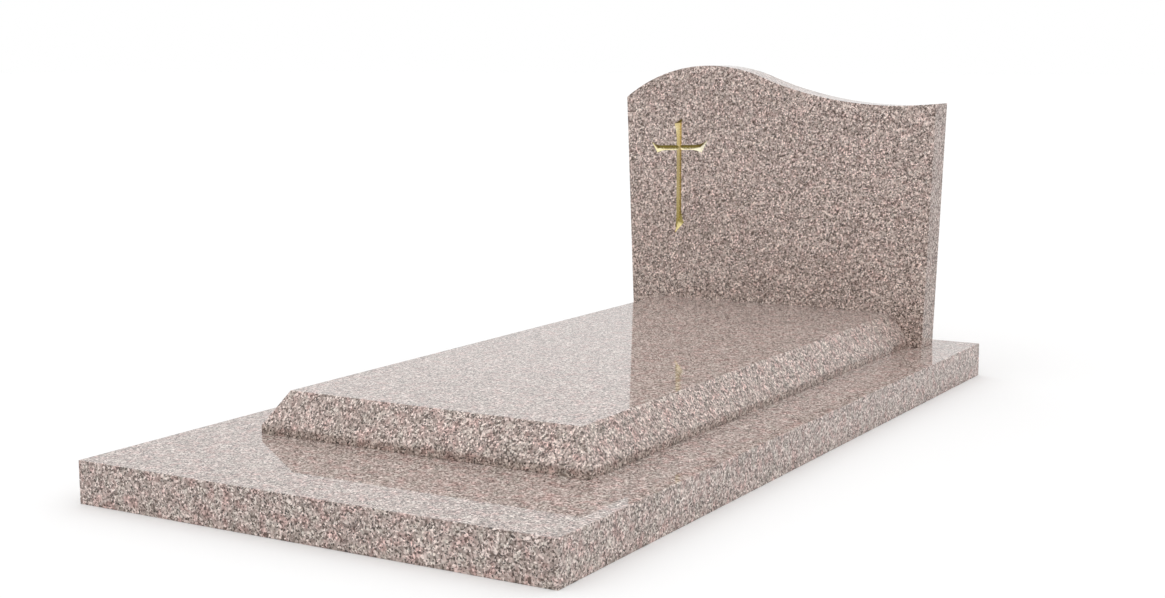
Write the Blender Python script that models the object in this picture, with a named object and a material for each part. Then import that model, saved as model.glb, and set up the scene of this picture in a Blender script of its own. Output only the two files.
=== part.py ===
"""Granite grave monument: a base slab, a bevelled ledger lying on it, and a headstone with a wave top.

Metres, +Z up. The origin is the middle of the base slab's underside. +X runs across the grave
and +Y runs along it, from the foot end towards the headstone. The three stones are bedded on
and against each other with a thin joint, and a gilded cross is V-cut into the headstone's face.
"""
import math

import bmesh
import bpy

# Base slab
BASE_WIDTH = 1.00
BASE_LENGTH = 2.00
BASE_THICKNESS = 0.08

# Ledger, which lies on the base in front of the headstone, bevelled on three sides
LEDGER_WIDTH = 0.725
LEDGER_THICKNESS = 0.08
LEDGER_FOOT_MARGIN = 0.33
LEDGER_BEVEL_RUN = 0.04
LEDGER_BAND = 0.016

# Headstone, which widens upwards
HEADSTONE_FOOT_WIDTH = 0.80
HEADSTONE_THICKNESS = 0.08
HEADSTONE_BACK_MARGIN = 0.06
HEADSTONE_SIDE_LEAN = math.radians(2.1)

# Wave of the headstone's top: a crown arc on the left turns smoothly into a long trough arc
CROWN_HEIGHT = 0.682
CROWN_RADIUS = 0.393
CROWN_FROM_MIDDLE = 0.1825
TROUGH_DROP = 0.0955
TROUGH_FROM_MIDDLE = 0.318
WAVE_STEPS = 72

# Cross: its place on the headstone's face, and its V-cut limbs
CROSS_FROM_SIDE = 0.15
CROSS_FROM_TOP = 0.1315
STEM_WIDTH = 0.014
STEM_DEPTH = 0.006
STEM_ABOVE_BAR = 0.0700
STEM_BELOW_BAR = 0.2106
BAR_WIDTH = 0.0130
BAR_DEPTH = 0.0055
BAR_REACH_LEFT = 0.0706
BAR_REACH_RIGHT = 0.073
BAR_CLIMB = math.radians(2.0)

# Ends of the limbs: how far the left and the right corner spread and over what length, the slant of
# the cut across them, and where the valley between the walls ends: to the right of the limb's middle,
# short of its reach, and how deep
STEM_FOOT = {
    "reach": STEM_BELOW_BAR, "spread": (0.004, 0.0085), "over": (0.046, 0.026),
    "slant": math.radians(46.5), "valley_end": (-0.0070, 0.0172, 0.0035),
}
STEM_HEAD = {
    "reach": STEM_ABOVE_BAR, "spread": (0.0065, 0.002), "over": (0.040, 0.020),
    "slant": math.radians(31), "valley_end": (0.0, 0.006, STEM_DEPTH),
}
BAR_START = {
    "reach": BAR_REACH_LEFT, "spread": (0.0095, 0.006), "over": (0.026, 0.026),
    "slant": math.radians(27.6), "valley_end": (0.0025, 0.0060, 0.0040),
}
BAR_END = {
    "reach": BAR_REACH_RIGHT, "spread": (0.0135, 0.0075), "over": (0.036, 0.032),
    "slant": math.radians(-28.4), "valley_end": (0.0, 0.014, BAR_DEPTH),
}
LIMB_STEPS = 24
VALLEY_BEND = 0.014

# All stones
ARRIS = 0.0015
JOINT = 0.0003
CUTTER_PROUD = 0.004
MERGE_DISTANCE = 0.00002
SETTLING_ROUNDS = 12
SHARP_ANGLE = math.radians(20)

GRANITE_COLOUR = (0.47, 0.39, 0.36, 1.0)
GRANITE_ROUGHNESS = 0.06

# Places that follow from the sizes
BASE_TOP = BASE_THICKNESS
SEAT = BASE_TOP + JOINT
HEADSTONE_BACK = BASE_LENGTH / 2 - HEADSTONE_BACK_MARGIN
HEADSTONE_FACE = HEADSTONE_BACK - HEADSTONE_THICKNESS
LEDGER_FOOT = LEDGER_FOOT_MARGIN - BASE_LENGTH / 2
LEDGER_HEAD = HEADSTONE_FACE - JOINT


def clear_scene():
    """Start from an empty scene."""
    for thing in list(bpy.data.objects):
        bpy.data.objects.remove(thing, do_unlink=True)


def granite(name):
    """Polished granite for one stone."""
    material = bpy.data.materials.new(name)
    material.use_nodes = True
    shader = material.node_tree.nodes["Principled BSDF"]
    shader.inputs["Base Color"].default_value = GRANITE_COLOUR
    shader.inputs["Roughness"].default_value = GRANITE_ROUGHNESS
    shader.inputs["Metallic"].default_value = 0.0
    return material


def add_stone(name, mesh, place):
    """Put a stone's mesh in the scene at its place, with its own material and broken arrises."""
    stone = bpy.data.objects.new(name, mesh)
    stone.location = place
    stone.data.materials.append(granite(name + "_granite"))
    bpy.context.scene.collection.objects.link(stone)
    arris = stone.modifiers.new("arris", "BEVEL")
    arris.width = ARRIS
    arris.segments = 1
    arris.limit_method = "ANGLE"
    arris.angle_limit = SHARP_ANGLE
    return stone


def loft(name, rings):
    """Close a stack of rings of points, listed anticlockwise as seen from the last ring, into a mesh."""
    shape = bmesh.new()
    loops = [[shape.verts.new(point) for point in ring] for ring in rings]
    shape.faces.new(list(reversed(loops[0])))
    for low, high in zip(loops, loops[1:]):
        count = len(low)
        for i in range(count):
            j = (i + 1) % count
            shape.faces.new((low[i], low[j], high[j], high[i]))
    shape.faces.new(loops[-1])
    mesh = bpy.data.meshes.new(name)
    shape.to_mesh(mesh)
    shape.free()
    return mesh


def rectangle(half_width, y_low, y_high, z):
    """Corners of a level rectangle, anticlockwise from above."""
    return [
        (-half_width, y_low, z),
        (half_width, y_low, z),
        (half_width, y_high, z),
        (-half_width, y_high, z),
    ]


def base_slab():
    """The low slab that carries the other two stones."""
    half_width, half_length = BASE_WIDTH / 2, BASE_LENGTH / 2
    rings = [rectangle(half_width, -half_length, half_length, z) for z in (0.0, BASE_THICKNESS)]
    return add_stone("base_slab", loft("base_slab", rings), (0.0, 0.0, 0.0))


def ledger_slab():
    """The ledger: an upright band, then a wide bevel on the foot end and both long sides."""
    half_width = LEDGER_WIDTH / 2
    length = LEDGER_HEAD - LEDGER_FOOT
    rings = [
        rectangle(half_width, 0.0, length, 0.0),
        rectangle(half_width, 0.0, length, LEDGER_BAND),
        rectangle(half_width - LEDGER_BEVEL_RUN, LEDGER_BEVEL_RUN, length, LEDGER_THICKNESS),
    ]
    return add_stone("ledger_slab", loft("ledger_slab", rings), (0.0, LEDGER_FOOT, SEAT))


def wave_height(x):
    """Height of the headstone's top above its foot: the crown arc, then the trough arc tangent to it."""
    span = TROUGH_FROM_MIDDLE + CROWN_FROM_MIDDLE
    trough_radius = (span ** 2 + TROUGH_DROP ** 2) / (2 * TROUGH_DROP) - CROWN_RADIUS
    turn = -CROWN_FROM_MIDDLE + span * CROWN_RADIUS / (CROWN_RADIUS + trough_radius)
    if x < turn:
        from_crown = x + CROWN_FROM_MIDDLE
        return CROWN_HEIGHT - CROWN_RADIUS + math.sqrt(CROWN_RADIUS ** 2 - from_crown ** 2)
    from_trough = x - TROUGH_FROM_MIDDLE
    trough = CROWN_HEIGHT - TROUGH_DROP
    return trough + trough_radius - math.sqrt(trough_radius ** 2 - from_trough ** 2)


def side_distance(height):
    """Half the headstone's width at a height above its foot."""
    return HEADSTONE_FOOT_WIDTH / 2 + height * math.tan(HEADSTONE_SIDE_LEAN)


def top_corner(side):
    """Where a leaning side, -1 for left or 1 for right, meets the wave."""
    x = side * HEADSTONE_FOOT_WIDTH / 2
    for _ in range(SETTLING_ROUNDS):
        x = side * side_distance(wave_height(x))
    return x


def headstone_blank():
    """The headstone before the cross is cut, standing on its foot with its face at y = 0."""
    left, right = top_corner(-1), top_corner(1)
    foot = HEADSTONE_FOOT_WIDTH / 2
    outline = [(-foot, 0.0), (foot, 0.0)]
    for i in range(WAVE_STEPS + 1):
        x = right + (left - right) * i / WAVE_STEPS
        outline.append((x, wave_height(x)))
    back = [(x, HEADSTONE_THICKNESS, z) for x, z in outline]
    face = [(x, 0.0, z) for x, z in outline]
    return add_stone("headstone", loft("headstone", [back, face]), (0.0, HEADSTONE_FACE, SEAT))


def flare(distance, length, spread):
    """How far an edge has spread at a distance from its limb's end."""
    return spread * max(0.0, 1.0 - distance / length) ** 2


def limb_edge(side, width, start, end):
    """A limb's left (-1) or right (1) edge on the stone's face, from its start to its end."""
    corner = max(side, 0)
    start_spread, end_spread = start["spread"][corner], end["spread"][corner]
    low = -start["reach"] + side * (width / 2 + start_spread) * math.tan(start["slant"])
    high = end["reach"] + side * (width / 2 + end_spread) * math.tan(end["slant"])
    edge = []
    for i in range(LIMB_STEPS + 1):
        along = low + (high - low) * i / LIMB_STEPS
        spread = flare(along - low, start["over"][corner], start_spread)
        spread += flare(high - along, end["over"][corner], end_spread)
        edge.append((side * (width / 2 + spread), along))
    return edge


def valley_floor(along, depth, start, end):
    """The deepest point of a cut at a place along it, (across, along, depth), bending to where it ends."""
    for limb_end, way in ((start, -1), (end, 1)):
        across, short, end_depth = limb_end["valley_end"]
        last = way * (limb_end["reach"] - short)
        bent = 1.0 + way * (along - last) / VALLEY_BEND
        if bent >= 1.0:
            return across, last, end_depth
        if bent > 0.0:
            return across * bent ** 2, along, depth + (end_depth - depth) * bent ** 2
    return 0.0, along, depth


def limb_cutter(name, width, depth, start, end, crossing, turn):
    """A V-shaped cutter for one limb of the cross, with its widest part proud of the stone's face at y = 0.

    The limb is laid out along +Z with its left at -X, and then turned about the crossing.
    """
    shape = bmesh.new()

    def place(x, along, y):
        across = x * math.cos(turn) - along * math.sin(turn)
        up = x * math.sin(turn) + along * math.cos(turn)
        return shape.verts.new((crossing[0] + across, y, crossing[1] + up))

    left_rim, floor, right_rim = [], [], []
    left, right = (limb_edge(side, width, start, end) for side in (-1, 1))
    for rims in zip(left, right):
        floor_x, floor_along, floor_depth = valley_floor((rims[0][1] + rims[1][1]) / 2, depth, start, end)
        floor.append(place(floor_x, floor_along, floor_depth))
        grow = 1.0 + CUTTER_PROUD / floor_depth
        for (x, along), rim in zip(rims, (left_rim, right_rim)):
            beyond = floor_x + (x - floor_x) * grow, floor_along + (along - floor_along) * grow
            rim.append(place(*beyond, -CUTTER_PROUD))
    for i in range(LIMB_STEPS):
        shape.faces.new((left_rim[i], left_rim[i + 1], floor[i + 1], floor[i]))
        shape.faces.new((floor[i], floor[i + 1], right_rim[i + 1], right_rim[i]))
        shape.faces.new((right_rim[i], right_rim[i + 1], left_rim[i + 1], left_rim[i]))
    shape.faces.new((left_rim[0], floor[0], right_rim[0]))
    shape.faces.new((right_rim[-1], floor[-1], left_rim[-1]))
    bmesh.ops.remove_doubles(shape, verts=shape.verts, dist=MERGE_DISTANCE)
    bmesh.ops.triangulate(shape, faces=shape.faces)
    bmesh.ops.recalc_face_normals(shape, faces=shape.faces)
    mesh = bpy.data.meshes.new(name)
    shape.to_mesh(mesh)
    shape.free()
    cutter = bpy.data.objects.new(name, mesh)
    cutter.hide_render = True
    cutter.display_type = "WIRE"
    bpy.context.scene.collection.objects.link(cutter)
    return cutter


def cross_centre():
    """Where the limbs cross: under the wave and in from the left side, as the named distances say."""
    across, level = 0.0, CROWN_HEIGHT / 2
    for _ in range(SETTLING_ROUNDS):
        across = CROSS_FROM_SIDE - side_distance(level)
        level = wave_height(across) - CROSS_FROM_TOP - STEM_ABOVE_BAR
    return across, level


def headstone():
    """The headstone, with the stem and the crossbar of the cross cut into its face."""
    stone = headstone_blank()
    crossing = cross_centre()
    stem = limb_cutter("stem_cutter", STEM_WIDTH, STEM_DEPTH, STEM_FOOT, STEM_HEAD, crossing, 0.0)
    bar_turn = BAR_CLIMB - math.pi / 2
    bar = limb_cutter("bar_cutter", BAR_WIDTH, BAR_DEPTH, BAR_START, BAR_END, crossing, bar_turn)
    for cutter in (stem, bar):
        cutter.location = stone.location
        cut = stone.modifiers.new(cutter.name, "BOOLEAN")
        cut.operation = "DIFFERENCE"
        cut.solver = "EXACT"
        cut.object = cutter
    return stone


clear_scene()
base_slab()
ledger_slab()
headstone()
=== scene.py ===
import math

import bmesh
import bpy
from mathutils import Matrix, Vector


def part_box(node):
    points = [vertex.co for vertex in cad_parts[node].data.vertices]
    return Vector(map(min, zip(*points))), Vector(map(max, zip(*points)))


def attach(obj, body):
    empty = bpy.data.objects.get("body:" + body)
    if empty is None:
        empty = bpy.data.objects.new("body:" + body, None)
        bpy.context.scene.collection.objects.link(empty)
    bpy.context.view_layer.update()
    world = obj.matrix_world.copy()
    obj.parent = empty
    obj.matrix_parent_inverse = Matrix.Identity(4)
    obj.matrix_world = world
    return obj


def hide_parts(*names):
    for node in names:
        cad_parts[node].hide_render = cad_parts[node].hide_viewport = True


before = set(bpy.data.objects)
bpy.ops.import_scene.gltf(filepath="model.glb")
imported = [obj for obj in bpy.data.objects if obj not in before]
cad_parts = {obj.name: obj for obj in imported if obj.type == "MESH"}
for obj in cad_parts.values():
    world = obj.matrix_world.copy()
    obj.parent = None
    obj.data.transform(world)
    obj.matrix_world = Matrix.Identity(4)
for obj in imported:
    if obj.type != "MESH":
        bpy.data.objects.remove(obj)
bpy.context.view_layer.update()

# Base slab
# One low slab of medium-grained pink granite, sawn from the block, polished on its top and its
# four edges, and rubbed back by hand along its arrises. Its underside stays as the saw left it.
# It lies on the ground and carries the other two stones, which are bedded on it.

# Grain of the granite: the crystals are in metres, the larger ones and the mica are shares of that
STONE_IOR = 1.54
NOISE_DETAIL = 2.0
NOISE_MIDDLE = (0.5, 0.5, 0.5)
CRYSTAL_SIZE = 0.0034
RAGGEDNESS = 1.1
RAGGED_SCALE = 0.9
SMALL_CRYSTALS = (
    (0.00, (0.80, 0.68, 0.63)),
    (0.18, (0.56, 0.455, 0.415)),
    (0.42, (0.40, 0.317, 0.286)),
    (0.66, (0.27, 0.209, 0.185)),
    (0.86, (0.13, 0.093, 0.078)),
)
LARGE_CRYSTALS = (
    (0.00, (0.74, 0.64, 0.59)),
    (0.45, (0.44, 0.328, 0.298)),
    (0.75, (0.30, 0.25, 0.226)),
)
LARGE_CRYSTAL_SIZE = 2.2
LARGE_CRYSTAL_ABOVE = 0.72
LARGE_CRYSTAL_REACH = 0.45
LARGE_CRYSTAL_STRENGTH = 0.6
LARGE_CRYSTAL_SHIFT = (3.1, 1.7, 5.3)
TONE_LOW, TONE_SPREAD = 0.8, 0.4
MICA_COLOUR = (0.05, 0.04, 0.036)
MICA_SHARE = 0.10
MICA_SIZE = 0.6
MICA_SHIFT = (7.7, 2.9, 0.6)
# Patches: where the soft noise turns the stone ruddy or grey, and how much
PATCH_SCALE = 0.16
RUDDY_FROM, RUDDY_FULL = 0.53, 0.66
GREY_FROM, GREY_FULL = 0.47, 0.36
RUDDY_TINT = (1.0, 0.86, 0.86)
GREY_TINT = (0.92, 0.97, 0.95)
# Painted shade: the stone is darkened towards its bed, where it meets what carries it
BED_SHADE_TINT = (0.70, 0.67, 0.62)
# Surface: what the mica and the crystals add to the roughness and to the relief
MICA_DULLS, CRYSTALS_DULL = 0.10, 0.02
MICA_RISES, CRYSTALS_RISE = -1.0, 0.25
RELIEF_DEPTH = 0.0002
# Arrises and finishes: a hidden face looks nearly square on to its axis
ARRIS = 0.0015
ARRIS_FACETS = 3
FACE_FINISH, ARRIS_FINISH, SAWN_FINISH = 0, 1, 2
POLISHED = {"roughness": 0.015, "relief": 0.02}
RUBBED = {"roughness": 0.30, "relief": 0.3}
SAWN = {"roughness": 0.45, "relief": 0.6}
SQUARE_ON = 0.9
SMOOTH_UNDER = math.radians(10)


def add_node(tree, kind, **settings):
    """A node of a kind, with its own settings made."""
    node = tree.nodes.new(kind)
    for name, value in settings.items():
        setattr(node, name, value)
    return node


def feed(tree, socket, value):
    """Join a socket to another, or set it to a plain value."""
    if isinstance(value, bpy.types.NodeSocket):
        tree.links.new(value, socket)
    else:
        socket.default_value = value


def calc(tree, operation, *terms):
    """One step of arithmetic on numbers or sockets."""
    step = add_node(tree, "ShaderNodeMath", operation=operation)
    for socket, term in zip(step.inputs, terms):
        feed(tree, socket, term)
    return step.outputs[0]


def calc_vector(tree, operation, first, second):
    """One step of arithmetic on places or colours, scaled by a number where the operation is SCALE."""
    step = add_node(tree, "ShaderNodeVectorMath", operation=operation)
    feed(tree, step.inputs[0], first)
    feed(tree, step.inputs["Scale" if operation == "SCALE" else 1], second)
    return step.outputs[0]


def mix_colour(tree, factor, first, second, blend="MIX"):
    """Blend two colours, each plain or a socket, by a factor."""
    mix = add_node(tree, "ShaderNodeMix", data_type="RGBA", blend_type=blend)
    feed(tree, mix.inputs["Factor"], factor)
    feed(tree, mix.inputs[6], first)
    feed(tree, mix.inputs[7], second)
    return mix.outputs[2]


def noise(tree, place, scale, detail):
    """Soft noise: its value and its colour."""
    cloud = add_node(tree, "ShaderNodeTexNoise")
    feed(tree, cloud.inputs["Vector"], place)
    feed(tree, cloud.inputs["Scale"], scale)
    cloud.inputs["Detail"].default_value = detail
    return cloud.outputs["Fac"], cloud.outputs["Color"]


def from_to(tree, value, low, high):
    """How far a value is on its way from low to high, kept between 0 and 1."""
    way = add_node(tree, "ShaderNodeMapRange")
    feed(tree, way.inputs["Value"], value)
    way.inputs["From Min"].default_value = low
    way.inputs["From Max"].default_value = high
    return way.outputs[0]


def crystals(tree, place, size, shift):
    """Crystals of one size: two random numbers for each, and how far a point is from its middle."""
    cells = add_node(tree, "ShaderNodeTexVoronoi")
    feed(tree, cells.inputs["Vector"], calc_vector(tree, "ADD", place, shift))
    feed(tree, cells.inputs["Scale"], calc(tree, "DIVIDE", 1.0, size))
    split = add_node(tree, "ShaderNodeSeparateColor")
    feed(tree, split.inputs[0], cells.outputs["Color"])
    return split.outputs[0], split.outputs[1], cells.outputs["Distance"]


def by_share(tree, number, shares, blend="CONSTANT"):
    """A colour for each number from 0 to 1: shares are (where the share starts, colour)."""
    ramp = add_node(tree, "ShaderNodeValToRGB")
    ramp.color_ramp.interpolation = blend
    stops = ramp.color_ramp.elements
    while len(stops) < len(shares):
        stops.new(1.0)
    for stop, (start, colour) in zip(stops, shares):
        stop.position = start
        stop.color = (*colour, 1.0)
    feed(tree, ramp.inputs[0], number)
    return ramp.outputs[0]


def build_granite_group():
    """Pink granite in the round: feldspars and quartz by share, dark mica, patches, and painted shade
    towards its bed.
    """
    tree = bpy.data.node_groups.new("pink_granite", "ShaderNodeTree")
    tree.interface.new_socket("Place", in_out="INPUT", socket_type="NodeSocketVector")
    for name in ("Crystal Size", "Lightness", "Mica", "Patches", "Bed Shade", "Polish"):
        tree.interface.new_socket(name, in_out="INPUT", socket_type="NodeSocketFloat")
    tree.interface.new_socket("Colour", in_out="OUTPUT", socket_type="NodeSocketColor")
    for name in ("Roughness", "Relief"):
        tree.interface.new_socket(name, in_out="OUTPUT", socket_type="NodeSocketFloat")
    given = add_node(tree, "NodeGroupInput").outputs
    size = given["Crystal Size"]

    _, push = noise(tree, given["Place"], calc(tree, "DIVIDE", RAGGED_SCALE, size), NOISE_DETAIL)
    push = calc_vector(tree, "SUBTRACT", push, NOISE_MIDDLE)
    push = calc_vector(tree, "SCALE", push, calc(tree, "MULTIPLY", size, RAGGEDNESS))
    ragged = calc_vector(tree, "ADD", given["Place"], push)

    kind, tone, _ = crystals(tree, ragged, size, (0.0, 0.0, 0.0))
    large_kind, large_pick, from_middle = crystals(
        tree, ragged, calc(tree, "MULTIPLY", size, LARGE_CRYSTAL_SIZE), LARGE_CRYSTAL_SHIFT)
    is_large = calc(tree, "MULTIPLY", calc(tree, "GREATER_THAN", large_pick, LARGE_CRYSTAL_ABOVE),
                    calc(tree, "LESS_THAN", from_middle, LARGE_CRYSTAL_REACH))
    colour = mix_colour(tree, calc(tree, "MULTIPLY", is_large, LARGE_CRYSTAL_STRENGTH),
                        by_share(tree, kind, SMALL_CRYSTALS), by_share(tree, large_kind, LARGE_CRYSTALS))
    shade = calc(tree, "MULTIPLY_ADD", tone, TONE_SPREAD, TONE_LOW)
    colour = calc_vector(tree, "SCALE", colour, calc(tree, "MULTIPLY", shade, given["Lightness"]))
    flake, _, _ = crystals(tree, ragged, calc(tree, "MULTIPLY", size, MICA_SIZE), MICA_SHIFT)
    is_mica = calc(tree, "LESS_THAN", flake, given["Mica"])
    colour = mix_colour(tree, is_mica, colour, (*MICA_COLOUR, 1.0))

    cloud, _ = noise(tree, given["Place"], calc(tree, "DIVIDE", PATCH_SCALE, size), NOISE_DETAIL)
    ruddy = calc(tree, "MULTIPLY", from_to(tree, cloud, RUDDY_FROM, RUDDY_FULL), given["Patches"])
    grey = calc(tree, "MULTIPLY", from_to(tree, cloud, GREY_FROM, GREY_FULL), given["Patches"])
    colour = mix_colour(tree, ruddy, colour, (*RUDDY_TINT, 1.0), "MULTIPLY")
    colour = mix_colour(tree, grey, colour, (*GREY_TINT, 1.0), "MULTIPLY")
    colour = mix_colour(tree, given["Bed Shade"], colour, (*BED_SHADE_TINT, 1.0), "MULTIPLY")

    out = add_node(tree, "NodeGroupOutput").inputs
    feed(tree, out["Colour"], colour)
    dulled = calc(tree, "MULTIPLY_ADD", is_mica, MICA_DULLS, calc(tree, "MULTIPLY", tone, CRYSTALS_DULL))
    feed(tree, out["Roughness"], calc(tree, "ADD", given["Polish"], dulled))
    mica_relief = calc(tree, "MULTIPLY", is_mica, MICA_RISES)
    feed(tree, out["Relief"], calc(tree, "MULTIPLY_ADD", tone, CRYSTALS_RISE, mica_relief))
    return tree


GRANITE = build_granite_group()


def granite(name, block, roughness, relief):
    """Granite of one block and one finish: its grain as it lies in the block, and painted shade above its
    bed.
    """
    material = bpy.data.materials.new(name)
    material.use_nodes = True
    tree = material.node_tree
    shader = tree.nodes["Principled BSDF"]
    shader.inputs["IOR"].default_value = STONE_IOR
    where = add_node(tree, "ShaderNodeTexCoord").outputs["Object"]
    laid = add_node(tree, "ShaderNodeMapping")
    feed(tree, laid.inputs["Vector"], where)
    laid.inputs["Location"].default_value = block["place"]
    laid.inputs["Rotation"].default_value = block["turn"]
    apart = add_node(tree, "ShaderNodeSeparateXYZ")
    feed(tree, apart.inputs[0], where)
    # Painted shade near the bed: how far up it reaches, and how dark it is
    near_bed = from_to(tree, apart.outputs[2], block["bed"] + block["bed_shade_reach"], block["bed"])
    stone = add_node(tree, "ShaderNodeGroup", node_tree=GRANITE)
    feed(tree, stone.inputs["Place"], laid.outputs[0])
    feed(tree, stone.inputs["Bed Shade"], calc(tree, "MULTIPLY", near_bed, block["bed_shade"]))
    stone.inputs["Crystal Size"].default_value = CRYSTAL_SIZE
    stone.inputs["Lightness"].default_value = block["lightness"]
    stone.inputs["Mica"].default_value = MICA_SHARE
    stone.inputs["Patches"].default_value = block["patches"]
    stone.inputs["Polish"].default_value = roughness
    feed(tree, shader.inputs["Base Color"], stone.outputs["Colour"])
    feed(tree, shader.inputs["Roughness"], stone.outputs["Roughness"])
    bump = add_node(tree, "ShaderNodeBump")
    bump.inputs["Strength"].default_value = relief
    bump.inputs["Distance"].default_value = RELIEF_DEPTH
    feed(tree, bump.inputs["Height"], stone.outputs["Relief"])
    feed(tree, shader.inputs["Normal"], bump.outputs[0])
    return material


def granite_finishes(stone, block):
    """The three finishes of one stone, in the order of FACE_FINISH, ARRIS_FINISH and SAWN_FINISH."""
    return [
        granite(stone + "_polished", block, **POLISHED),
        granite(stone + "_arris", block, **RUBBED),
        granite(stone + "_sawn", block, **SAWN),
    ]


def finish_faces(mesh, is_sawn):
    """Give the hidden faces the sawn finish, and shade the facets of arcs and arrises as one."""
    for face in mesh.polygons:
        if face.material_index == FACE_FINISH and is_sawn(face):
            face.material_index = SAWN_FINISH
    mesh.shade_smooth()
    mesh.set_sharp_from_angle(angle=SMOOTH_UNDER)


def link_piece(name, mesh):
    """Put a mesh into the scene as an object of its own."""
    piece = bpy.data.objects.new(name, mesh)
    bpy.context.scene.collection.objects.link(piece)
    return piece


def cut_slab(name, rings, finishes, is_sawn, bedded=False):
    """A slab from a stack of level rings of corners, with its arrises rubbed back, but not at its bed."""
    shape = bmesh.new()
    loops = [[shape.verts.new(corner) for corner in ring] for ring in rings]
    shape.faces.new(list(reversed(loops[0])))
    for low, high in zip(loops, loops[1:]):
        for i in range(len(low)):
            j = (i + 1) % len(low)
            shape.faces.new((low[i], low[j], high[j], high[i]))
    shape.faces.new(loops[-1])
    at_bed = set(loops[0]) if bedded else set()
    rubbed = [edge for edge in shape.edges if not at_bed.issuperset(edge.verts)]
    bmesh.ops.bevel(
        shape, geom=rubbed, offset=ARRIS, segments=ARRIS_FACETS, profile=0.5,
        affect="EDGES", material=ARRIS_FINISH,
    )
    mesh = bpy.data.meshes.new(name)
    shape.to_mesh(mesh)
    shape.free()
    for finish in finishes:
        mesh.materials.append(finish)
    finish_faces(mesh, is_sawn)
    return link_piece(name, mesh)


def ring(low, high, z, inset=0.0):
    """Corners of a level rectangle, anticlockwise from above, drawn in at the foot end and both sides."""
    left, right, foot = low.x + inset, high.x - inset, low.y + inset
    return [(left, foot, z), (right, foot, z), (right, high.y, z), (left, high.y, z)]


def faces_down(face):
    """True for a face that lies on what carries the stone."""
    return face.normal.z < -SQUARE_ON


base_low, base_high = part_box("base_slab")
BASE_BLOCK = {
    "place": (0.31, 0.77, 0.13), "turn": (0.2, 0.1, 0.4), "lightness": 1.09, "patches": 0.9,
    "bed": base_low.z, "bed_shade_reach": 0.02, "bed_shade": 0.15,
}
base = cut_slab(
    "base_stone",
    [ring(base_low, base_high, base_low.z), ring(base_low, base_high, base_high.z)],
    granite_finishes("base", BASE_BLOCK),
    faces_down,
)
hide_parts("base_slab")
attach(base, "root")

# Ledger
# The slab that lies over the grave, cut from another block of the same granite and bedded on the
# base. A wide bevel is ground and honed along its foot end and both long sides, above a narrow
# polished band. Its head end is sawn square and butts against the headstone.

LEDGER_BEVEL_RUN = 0.04
LEDGER_BAND = 0.016
HONED_FINISH = 3
HONED = {"roughness": 0.38, "relief": 0.05}
HONED_LIGHTNESS = 1.05
BEVEL_LOOKS_UP = (0.3, 0.8)


def faces_down_or_back(face):
    """True for a stone's bed and for the side of it that is turned away, towards the head end."""
    return faces_down(face) or face.normal.y > SQUARE_ON


ledger_low, ledger_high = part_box("ledger_slab")
LEDGER_BLOCK = {
    "place": (1.37, 0.21, 0.68), "turn": (0.5, 0.3, 0.9), "lightness": 1.12, "patches": 0.8,
    "bed": ledger_low.z, "bed_shade_reach": 0.026, "bed_shade": 0.75,
}
honed_block = {**LEDGER_BLOCK, "lightness": LEDGER_BLOCK["lightness"] * HONED_LIGHTNESS}
ledger = cut_slab(
    "ledger_stone",
    [
        ring(ledger_low, ledger_high, ledger_low.z),
        ring(ledger_low, ledger_high, ledger_low.z + LEDGER_BAND),
        ring(ledger_low, ledger_high, ledger_high.z, LEDGER_BEVEL_RUN),
    ],
    granite_finishes("ledger", LEDGER_BLOCK) + [granite("ledger_honed", honed_block, **HONED)],
    faces_down_or_back,
    bedded=True,
)
for face in ledger.data.polygons:
    if face.material_index == FACE_FINISH and BEVEL_LOOKS_UP[0] < face.normal.z < BEVEL_LOOKS_UP[1]:
        face.material_index = HONED_FINISH
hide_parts("ledger_slab")
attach(ledger, "root")

# Headstone
# An upright slab that stands on the base behind the ledger and widens upwards. Its top is sawn to
# a wave, a round crown on the left that turns smoothly into a long shallow trough, and is polished
# with the face and the sides. Its back and its foot stay as the saw left them.

HEADSTONE_FOOT_WIDTH = 0.80
SIDE_LEAN = math.radians(2.1)
CROWN_RADIUS = 0.393
CROWN_FROM_MIDDLE = 0.1825
TROUGH_DROP = 0.0955
TROUGH_FROM_MIDDLE = 0.318
WAVE_STEPS = 120
FACE_ROWS = 12
SETTLING_ROUNDS = 12
MERGE_DISTANCE = 0.00002
ARRIS_OVER = math.radians(20)

stone_low, stone_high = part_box("headstone")
CROWN_HEIGHT = stone_high.z - stone_low.z
SPAN = TROUGH_FROM_MIDDLE + CROWN_FROM_MIDDLE
TROUGH_RADIUS = (SPAN ** 2 + TROUGH_DROP ** 2) / (2 * TROUGH_DROP) - CROWN_RADIUS
TURN = -CROWN_FROM_MIDDLE + SPAN * CROWN_RADIUS / (CROWN_RADIUS + TROUGH_RADIUS)


def wave_height(x):
    """Height of the wave above the headstone's foot."""
    if x < TURN:
        return CROWN_HEIGHT - CROWN_RADIUS + math.sqrt(CROWN_RADIUS ** 2 - (x + CROWN_FROM_MIDDLE) ** 2)
    above_trough = TROUGH_RADIUS - math.sqrt(TROUGH_RADIUS ** 2 - (x - TROUGH_FROM_MIDDLE) ** 2)
    return CROWN_HEIGHT - TROUGH_DROP + above_trough


def side_distance(height):
    """Half the headstone's width at a height above its foot."""
    return HEADSTONE_FOOT_WIDTH / 2 + height * math.tan(SIDE_LEAN)


def top_corner(side):
    """Where the left side, -1, or the right side, 1, meets the wave."""
    x = side * HEADSTONE_FOOT_WIDTH / 2
    for _ in range(SETTLING_ROUNDS):
        x = side * side_distance(wave_height(x))
    return x


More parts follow.
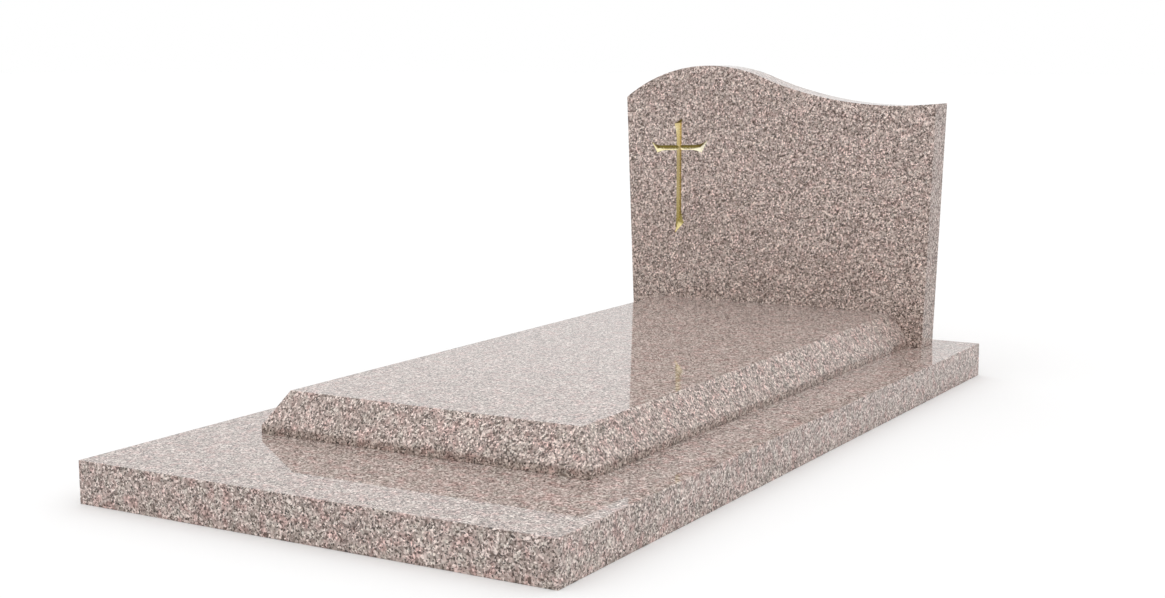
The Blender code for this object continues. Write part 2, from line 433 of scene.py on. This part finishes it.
def build_wave_slab_tree():
    """An upright slab whose top follows a crown arc and a trough arc that touch."""
    tree = bpy.data.node_groups.new("wave_slab", "GeometryNodeTree")
    for name in (
        "Foot Width", "Left Corner", "Right Corner", "Crown Height", "Crown Radius", "Crown Place",
        "Trough Radius", "Trough Place", "Trough Height", "Turn", "Thickness", "Face", "Foot",
    ):
        tree.interface.new_socket(name, in_out="INPUT", socket_type="NodeSocketFloat")
    for name in ("Wave Steps", "Face Rows"):
        tree.interface.new_socket(name, in_out="INPUT", socket_type="NodeSocketInt")
    tree.interface.new_socket("Finish", in_out="INPUT", socket_type="NodeSocketMaterial")
    tree.interface.new_socket("Slab", in_out="OUTPUT", socket_type="NodeSocketGeometry")
    given = add_node(tree, "NodeGroupInput").outputs

    grid = add_node(tree, "GeometryNodeMeshGrid")
    feed(tree, grid.inputs["Vertices X"], given["Wave Steps"])
    feed(tree, grid.inputs["Vertices Y"], given["Face Rows"])
    apart = add_node(tree, "ShaderNodeSeparateXYZ")
    feed(tree, apart.inputs[0], add_node(tree, "GeometryNodeInputPosition").outputs[0])
    # The grid is 1 m square about its middle, so half of that makes its places run from 0 to 1.
    across = calc(tree, "ADD", apart.outputs[0], 0.5)
    up = calc(tree, "ADD", apart.outputs[1], 0.5)

    top_width = calc(tree, "SUBTRACT", given["Right Corner"], given["Left Corner"])
    top_x = calc(tree, "MULTIPLY_ADD", top_width, across, given["Left Corner"])
    foot_x = calc(tree, "MULTIPLY", given["Foot Width"], apart.outputs[0])

    def arc_depth(radius, middle):
        """How far a circle falls away at the top's place across, from its highest or lowest point."""
        offset = calc(tree, "SUBTRACT", top_x, middle)
        squares = calc(tree, "SUBTRACT", calc(tree, "POWER", radius, 2.0), calc(tree, "POWER", offset, 2.0))
        return calc(tree, "SUBTRACT", radius, calc(tree, "SQRT", squares))

    crown_depth = arc_depth(given["Crown Radius"], given["Crown Place"])
    crown = calc(tree, "SUBTRACT", given["Crown Height"], crown_depth)
    trough_depth = arc_depth(given["Trough Radius"], given["Trough Place"])
    trough = calc(tree, "ADD", given["Trough Height"], trough_depth)
    past_turn = calc(tree, "GREATER_THAN", top_x, given["Turn"])
    top_z = calc(tree, "MULTIPLY_ADD", past_turn, calc(tree, "SUBTRACT", trough, crown), crown)

    to = add_node(tree, "ShaderNodeCombineXYZ")
    feed(tree, to.inputs[0], calc(tree, "MULTIPLY_ADD", up, calc(tree, "SUBTRACT", top_x, foot_x), foot_x))
    feed(tree, to.inputs[1], given["Face"])
    feed(tree, to.inputs[2], calc(tree, "MULTIPLY_ADD", up, top_z, given["Foot"]))
    face = add_node(tree, "GeometryNodeSetPosition")
    feed(tree, face.inputs["Geometry"], grid.outputs["Mesh"])
    feed(tree, face.inputs["Position"], to.outputs[0])

    turned = add_node(tree, "GeometryNodeFlipFaces")
    feed(tree, turned.inputs[0], face.outputs[0])
    body = add_node(tree, "GeometryNodeExtrudeMesh", mode="FACES")
    feed(tree, body.inputs["Mesh"], turned.outputs[0])
    body.inputs["Offset"].default_value = (0.0, 1.0, 0.0)
    feed(tree, body.inputs["Offset Scale"], given["Thickness"])
    body.inputs["Individual"].default_value = False
    joined = add_node(tree, "GeometryNodeJoinGeometry")
    feed(tree, joined.inputs[0], face.outputs[0])
    feed(tree, joined.inputs[0], body.outputs["Mesh"])
    closed = add_node(tree, "GeometryNodeMergeByDistance")
    feed(tree, closed.inputs["Geometry"], joined.outputs[0])
    closed.inputs["Distance"].default_value = MERGE_DISTANCE
    real = add_node(tree, "GeometryNodeRealizeInstances")
    feed(tree, real.inputs[0], closed.outputs[0])
    painted = add_node(tree, "GeometryNodeSetMaterial")
    feed(tree, painted.inputs["Geometry"], real.outputs[0])
    feed(tree, painted.inputs["Material"], given["Finish"])
    feed(tree, add_node(tree, "NodeGroupOutput").inputs[0], painted.outputs[0])
    return tree


def evaluated_mesh(piece):
    """The plain mesh that an object's modifiers make."""
    return bpy.data.meshes.new_from_object(piece.evaluated_get(bpy.context.evaluated_depsgraph_get()))


def run_tree(name, tree, values):
    """An object with the plain mesh that a geometry tree makes from its named sizes."""
    piece = link_piece(name, bpy.data.meshes.new(name))
    modifier = piece.modifiers.new("shape", "NODES")
    modifier.node_group = tree
    for item in tree.interface.items_tree:
        if item.item_type == "SOCKET" and item.in_out == "INPUT":
            modifier[item.identifier] = values[item.name]
    result = evaluated_mesh(piece)
    piece.modifiers.remove(modifier)
    piece.data = result
    return piece


HEADSTONE_BLOCK = {
    "place": (0.44, 1.92, 0.35), "turn": (1.1, 0.2, 0.3), "lightness": 1.20, "patches": 0.4,
    "bed": stone_low.z, "bed_shade_reach": 0.42, "bed_shade": 0.50,
}
headstone_finishes = granite_finishes("headstone", HEADSTONE_BLOCK)
headstone = run_tree("headstone_stone", build_wave_slab_tree(), {
    "Foot Width": HEADSTONE_FOOT_WIDTH,
    "Left Corner": top_corner(-1),
    "Right Corner": top_corner(1),
    "Crown Height": CROWN_HEIGHT,
    "Crown Radius": CROWN_RADIUS,
    "Crown Place": -CROWN_FROM_MIDDLE,
    "Trough Radius": TROUGH_RADIUS,
    "Trough Place": TROUGH_FROM_MIDDLE,
    "Trough Height": CROWN_HEIGHT - TROUGH_DROP,
    "Turn": TURN,
    "Thickness": stone_high.y - stone_low.y,
    "Face": stone_low.y,
    "Foot": stone_low.z,
    "Wave Steps": WAVE_STEPS,
    "Face Rows": FACE_ROWS,
    "Finish": headstone_finishes[FACE_FINISH],
})
for finish in headstone_finishes[1:]:
    headstone.data.materials.append(finish)
arris = headstone.modifiers.new("arris", "BEVEL")
arris.width = ARRIS
arris.segments = ARRIS_FACETS
arris.limit_method = "ANGLE"
arris.angle_limit = ARRIS_OVER
arris.material = ARRIS_FINISH

# Cross
# A slender Latin cross with flared, slanting ends, V-cut into the headstone's face with a chisel
# and then gilded with leaf laid on size. The leaf follows the walls of the cut, so it is a film
# of its own on the stone. Its walls that look up carry painted light, whiter towards the right end
# as a painted glint, those that look down carry painted shade, and the gold is darker towards the foot.

CROSS_FROM_SIDE = 0.15
CROSS_FROM_TOP = 0.1315
STEM_WIDTH, STEM_DEPTH = 0.014, 0.006
BAR_WIDTH, BAR_DEPTH = 0.0130, 0.0055
BAR_CLIMB = math.radians(2.0)
# Ends of the limbs: how far the left and the right corner spread and over what length, the slant of
# the cut across them, and where the valley ends: to the right of the limb's middle, short of its
# reach, and how deep
STEM_FOOT = {
    "reach": 0.2106, "spread": (0.004, 0.0085), "over": (0.046, 0.026),
    "slant": math.radians(46.5), "valley_end": (-0.0070, 0.0172, 0.0035),
}
STEM_HEAD = {
    "reach": 0.0700, "spread": (0.0065, 0.002), "over": (0.040, 0.020),
    "slant": math.radians(31), "valley_end": (0.0, 0.006, STEM_DEPTH),
}
BAR_START = {
    "reach": 0.0706, "spread": (0.0095, 0.006), "over": (0.026, 0.026),
    "slant": math.radians(27.6), "valley_end": (0.0025, 0.0060, 0.0040),
}
BAR_END = {
    "reach": 0.073, "spread": (0.0135, 0.0075), "over": (0.036, 0.032),
    "slant": math.radians(-28.4), "valley_end": (0.0, 0.014, BAR_DEPTH),
}
LIMB_STEPS = 48
VALLEY_BEND = 0.014
CHISEL_PROUD = 0.004
LEAF_THICKNESS = 0.00012
LEAF_OFFSET = 1.5
LEAF_SMOOTH_UNDER = math.radians(25)
# Gold by height on the upright walls, darker towards the foot, and then painted light on the walls that
# look up and painted shade on those that look down
UPRIGHT_GOLD = (
    (0.00, (0.41, 0.33, 0.10)),
    (0.15, (0.50, 0.40, 0.155)),
    (0.30, (0.63, 0.51, 0.25)),
    (0.64, (0.60, 0.48, 0.24)),
    (0.80, (0.80, 0.64, 0.31)),
)
# Painted light on the walls that look up, whiter towards the right end as a painted glint, and painted
# shade on those that look down
PAINTED_LIGHT_GOLD_FOOT = (0.92, 0.77, 0.38)
PAINTED_LIGHT_GOLD_LEFT, PAINTED_LIGHT_GOLD_RIGHT = (0.98, 0.90, 0.58), (0.98, 0.93, 0.80)
SHADED_GOLD = (0.24, 0.20, 0.065)
PAINTED_LIGHT_FROM, PAINTED_LIGHT_FULL = 0.03, 0.14
SHADED_FROM, SHADED_FULL = -0.08, -0.3
CHISEL_MARKS_SCALE, CHISEL_MARKS_DETAIL = 420.0, 3.0
CHISEL_MARKS_RELIEF, CHISEL_MARKS_DEPTH = 0.35, 0.0004
LEAF_TONE_LOW, LEAF_TONE_SPREAD = 0.82, 0.4
LEAF_ROUGHNESS_LOW, LEAF_ROUGHNESS_SPREAD = 0.15, 0.2
PURE_WHITE = (1.0, 1.0, 1.0)


def flare(distance, length, spread):
    """How far an edge has spread at a distance from its limb's end."""
    return spread * max(0.0, 1.0 - distance / length) ** 2


def limb_edge(side, width, start, end):
    """A limb's left (-1) or right (1) edge on the stone's face, from its start to its end."""
    corner = max(side, 0)
    start_spread, end_spread = start["spread"][corner], end["spread"][corner]
    low = -start["reach"] + side * (width / 2 + start_spread) * math.tan(start["slant"])
    high = end["reach"] + side * (width / 2 + end_spread) * math.tan(end["slant"])
    edge = []
    for i in range(LIMB_STEPS + 1):
        along = low + (high - low) * i / LIMB_STEPS
        spread = flare(along - low, start["over"][corner], start_spread)
        spread += flare(high - along, end["over"][corner], end_spread)
        edge.append((side * (width / 2 + spread), along))
    return edge


def valley_floor(along, depth, start, end):
    """The deepest point of a cut at a place along it, (across, along, depth), bending to where it ends."""
    for limb_end, way in ((start, -1), (end, 1)):
        across, short, end_depth = limb_end["valley_end"]
        last = way * (limb_end["reach"] - short)
        bent = 1.0 + way * (along - last) / VALLEY_BEND
        if bent >= 1.0:
            return across, last, end_depth
        if bent > 0.0:
            return across * bent ** 2, along, depth + (end_depth - depth) * bent ** 2
    return 0.0, along, depth


def chisel_cut(name, width, depth, start, end, turn, finish):
    """The V-shaped space that the chisel leaves for one limb, laid out along +Z and turned."""
    shape = bmesh.new()

    def place(x, along, y):
        across = x * math.cos(turn) - along * math.sin(turn)
        up = x * math.sin(turn) + along * math.cos(turn)
        return shape.verts.new((cross_x + across, stone_low.y + y, cross_z + up))

    left_rim, floor, right_rim = [], [], []
    left, right = (limb_edge(side, width, start, end) for side in (-1, 1))
    for rims in zip(left, right):
        floor_x, floor_along, floor_depth = valley_floor((rims[0][1] + rims[1][1]) / 2, depth, start, end)
        floor.append(place(floor_x, floor_along, floor_depth))
        grow = 1.0 + CHISEL_PROUD / floor_depth
        for (x, along), rim in zip(rims, (left_rim, right_rim)):
            beyond = floor_x + (x - floor_x) * grow, floor_along + (along - floor_along) * grow
            rim.append(place(*beyond, -CHISEL_PROUD))
    for i in range(LIMB_STEPS):
        shape.faces.new((left_rim[i], left_rim[i + 1], floor[i + 1], floor[i]))
        shape.faces.new((floor[i], floor[i + 1], right_rim[i + 1], right_rim[i]))
        shape.faces.new((right_rim[i], right_rim[i + 1], left_rim[i + 1], left_rim[i]))
    shape.faces.new((left_rim[0], floor[0], right_rim[0]))
    shape.faces.new((right_rim[-1], floor[-1], left_rim[-1]))
    bmesh.ops.remove_doubles(shape, verts=shape.verts, dist=MERGE_DISTANCE)
    bmesh.ops.triangulate(shape, faces=shape.faces)
    bmesh.ops.recalc_face_normals(shape, faces=shape.faces)
    mesh = bpy.data.meshes.new(name)
    shape.to_mesh(mesh)
    shape.free()
    mesh.materials.append(finish)
    return link_piece(name, mesh)


def gold_leaf(name, foot, head, left, right):
    """Gold leaf on a chiselled ground, with painted light on the walls that look up, painted shade on those
    that look down, and darker towards the foot.
    """
    material = bpy.data.materials.new(name)
    material.use_nodes = True
    tree = material.node_tree
    shader = tree.nodes["Principled BSDF"]
    shader.inputs["Metallic"].default_value = 1.0
    where = add_node(tree, "ShaderNodeTexCoord")
    marks, _ = noise(tree, where.outputs["Object"], CHISEL_MARKS_SCALE, CHISEL_MARKS_DETAIL)
    apart = add_node(tree, "ShaderNodeSeparateXYZ")
    feed(tree, apart.inputs[0], where.outputs["Normal"])
    level = add_node(tree, "ShaderNodeSeparateXYZ")
    feed(tree, level.inputs[0], where.outputs["Object"])
    height = from_to(tree, level.outputs[2], foot, head)
    gold = by_share(tree, height, UPRIGHT_GOLD, "LINEAR")
    sideways = from_to(tree, level.outputs[0], left, right)
    # Painted light: the colour of the walls that look up, whiter towards the right end as a painted glint
    painted_light_gold = mix_colour(tree, sideways, (*PAINTED_LIGHT_GOLD_LEFT, 1.0), (*PAINTED_LIGHT_GOLD_RIGHT, 1.0))
    painted_light_gold = mix_colour(tree, height, (*PAINTED_LIGHT_GOLD_FOOT, 1.0), painted_light_gold)
    # Painted light where a wall looks up, painted shade where it looks down
    looks_up = from_to(tree, apart.outputs[2], PAINTED_LIGHT_FROM, PAINTED_LIGHT_FULL)
    gold = mix_colour(tree, looks_up, gold, painted_light_gold)
    looks_down = from_to(tree, apart.outputs[2], SHADED_FROM, SHADED_FULL)
    gold = mix_colour(tree, looks_down, gold, (*SHADED_GOLD, 1.0))
    tone = calc(tree, "MULTIPLY_ADD", marks, LEAF_TONE_SPREAD, LEAF_TONE_LOW)
    gold = calc_vector(tree, "SCALE", gold, tone)
    feed(tree, shader.inputs["Base Color"], calc_vector(tree, "MINIMUM", gold, PURE_WHITE))
    roughness = calc(tree, "MULTIPLY_ADD", marks, LEAF_ROUGHNESS_SPREAD, LEAF_ROUGHNESS_LOW)
    feed(tree, shader.inputs["Roughness"], roughness)
    bump = add_node(tree, "ShaderNodeBump")
    bump.inputs["Strength"].default_value = CHISEL_MARKS_RELIEF
    bump.inputs["Distance"].default_value = CHISEL_MARKS_DEPTH
    feed(tree, bump.inputs["Height"], marks)
    feed(tree, shader.inputs["Normal"], bump.outputs[0])
    return material


cross_x, cross_z = 0.0, stone_low.z + CROWN_HEIGHT / 2
for _ in range(SETTLING_ROUNDS):
    cross_x = CROSS_FROM_SIDE - side_distance(cross_z - stone_low.z)
    cross_z = stone_low.z + wave_height(cross_x) - CROSS_FROM_TOP - STEM_HEAD["reach"]

leaf_finish = gold_leaf(
    "gold_leaf", cross_z - STEM_FOOT["reach"], cross_z + STEM_HEAD["reach"],
    cross_x - BAR_START["reach"], cross_x + BAR_END["reach"],
)
BAR_TURN = BAR_CLIMB - math.pi / 2
cuts = [
    chisel_cut("stem_cut", STEM_WIDTH, STEM_DEPTH, STEM_FOOT, STEM_HEAD, 0.0, leaf_finish),
    chisel_cut("bar_cut", BAR_WIDTH, BAR_DEPTH, BAR_START, BAR_END, BAR_TURN, leaf_finish),
]
for cut in cuts:
    carving = headstone.modifiers.new(cut.name, "BOOLEAN")
    carving.operation = "DIFFERENCE"
    carving.solver = "EXACT"
    carving.material_mode = "TRANSFER"
    carving.object = cut
carved = evaluated_mesh(headstone)
headstone.modifiers.clear()
headstone.data = carved
for cut in cuts:
    bpy.data.objects.remove(cut, do_unlink=True)

leaf_index = carved.materials.find("gold_leaf")
walls = bmesh.new()
walls.from_mesh(carved)
bare = [face for face in walls.faces if face.material_index != leaf_index]
bmesh.ops.delete(walls, geom=bare, context="FACES")
for face in walls.faces:
    face.material_index = 0
leaf_mesh = bpy.data.meshes.new("cross_gilding")
walls.to_mesh(leaf_mesh)
walls.free()
leaf_mesh.materials.clear()
leaf_mesh.materials.append(leaf_finish)
leaf = link_piece("cross_gilding", leaf_mesh)
film = leaf.modifiers.new("film", "SOLIDIFY")
film.thickness = LEAF_THICKNESS
film.offset = LEAF_OFFSET
leaf.data = evaluated_mesh(leaf)
leaf.modifiers.clear()
leaf.data.shade_smooth()
leaf.data.set_sharp_from_angle(angle=LEAF_SMOOTH_UNDER)

for face in carved.polygons:
    if face.material_index == leaf_index:
        face.material_index = SAWN_FINISH
carved.materials.pop(index=leaf_index)
finish_faces(carved, faces_down_or_back)

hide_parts("headstone")
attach(headstone, "root")
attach(leaf, "root")

# Studio
# A pale floor that runs far out on all sides, a soft white surround that is a little brighter
# overhead, and a camera at the photograph's angle. The floor and the surround show as white, and
# throw less light on the stone than they show, as a sheet of white paper among dimmer things does.

FLOOR_REACH = 60.0
FLOOR_SEEN = 0.97
FLOOR_NEAR, FLOOR_FAR = 1.3, 2.6
FLOOR_THROWS_NEAR, FLOOR_THROWS_FAR = 0.8, 0.5
SKY_SEEN = 1.0
SKY_BASE = 0.92
SKY_OVERHEAD = 0.3
CAMERA_PLACE = (1.7906, -3.0998, 0.7916)
CAMERA_TURN = math.radians(30.695)
CAMERA_DIP = math.radians(8.13)
CAMERA_ROLL = math.radians(-0.17)
CAMERA_LENS = 52.92
CAMERA_SENSOR = 36.0
CAMERA_SEES_TO = 200.0


def paint_floor():
    """Matt paint, white to the camera, that throws back less light farther out."""
    paint = bpy.data.materials.new("floor_paint")
    paint.use_nodes = True
    tree = paint.node_tree
    tree.nodes.clear()
    far_out = add_node(tree, "ShaderNodeVectorMath", operation="LENGTH")
    feed(tree, far_out.inputs[0], add_node(tree, "ShaderNodeTexCoord").outputs["Object"])
    outwards = from_to(tree, far_out.outputs["Value"], FLOOR_NEAR, FLOOR_FAR)
    thrown = calc(tree, "MULTIPLY_ADD", outwards, FLOOR_THROWS_FAR - FLOOR_THROWS_NEAR, FLOOR_THROWS_NEAR)
    is_seen = add_node(tree, "ShaderNodeLightPath").outputs["Is Camera Ray"]
    shown = calc(tree, "MULTIPLY_ADD", is_seen, calc(tree, "SUBTRACT", FLOOR_SEEN, thrown), thrown)
    matt = add_node(tree, "ShaderNodeBsdfDiffuse")
    feed(tree, matt.inputs["Color"], shown)
    feed(tree, add_node(tree, "ShaderNodeOutputMaterial").inputs["Surface"], matt.outputs[0])
    return paint


def light_surround():
    """Even white light from all round, brighter overhead, and plain white to the camera."""
    surround = bpy.data.worlds.new("surround")
    surround.use_nodes = True
    tree = surround.node_tree
    apart = add_node(tree, "ShaderNodeSeparateXYZ")
    feed(tree, apart.inputs[0], add_node(tree, "ShaderNodeTexCoord").outputs["Generated"])
    height = calc(tree, "MAXIMUM", apart.outputs[2], 0.0)
    bright = calc(tree, "MULTIPLY_ADD", calc(tree, "POWER", height, 2.0), SKY_OVERHEAD, SKY_BASE)
    is_seen = add_node(tree, "ShaderNodeLightPath").outputs["Is Camera Ray"]
    shown = calc(tree, "MULTIPLY_ADD", is_seen, calc(tree, "SUBTRACT", SKY_SEEN, bright), bright)
    light = tree.nodes["Background"]
    light.inputs["Color"].default_value = (1.0, 1.0, 1.0, 1.0)
    feed(tree, light.inputs["Strength"], shown)
    return surround


floor_mesh = bpy.data.meshes.new("floor")
corners = [(x * FLOOR_REACH, y * FLOOR_REACH, 0.0) for x, y in ((-1, -1), (1, -1), (1, 1), (-1, 1))]
floor_mesh.from_pydata(corners, [], [(0, 1, 2, 3)])
floor_mesh.materials.append(paint_floor())
link_piece("floor", floor_mesh)
bpy.context.scene.world = light_surround()
bpy.context.scene.view_settings.view_transform = "Standard"

lens = bpy.data.cameras.new("camera")
lens.lens = CAMERA_LENS
lens.sensor_width = CAMERA_SENSOR
lens.clip_end = CAMERA_SEES_TO
camera = bpy.data.objects.new("camera", lens)
camera.matrix_world = (
    Matrix.Translation(CAMERA_PLACE)
    @ Matrix.Rotation(CAMERA_TURN, 4, "Z")
    @ Matrix.Rotation(math.pi / 2 - CAMERA_DIP, 4, "X")
    @ Matrix.Rotation(CAMERA_ROLL, 4, "Z")
)
bpy.context.scene.collection.objects.link(camera)
bpy.context.scene.camera = camera
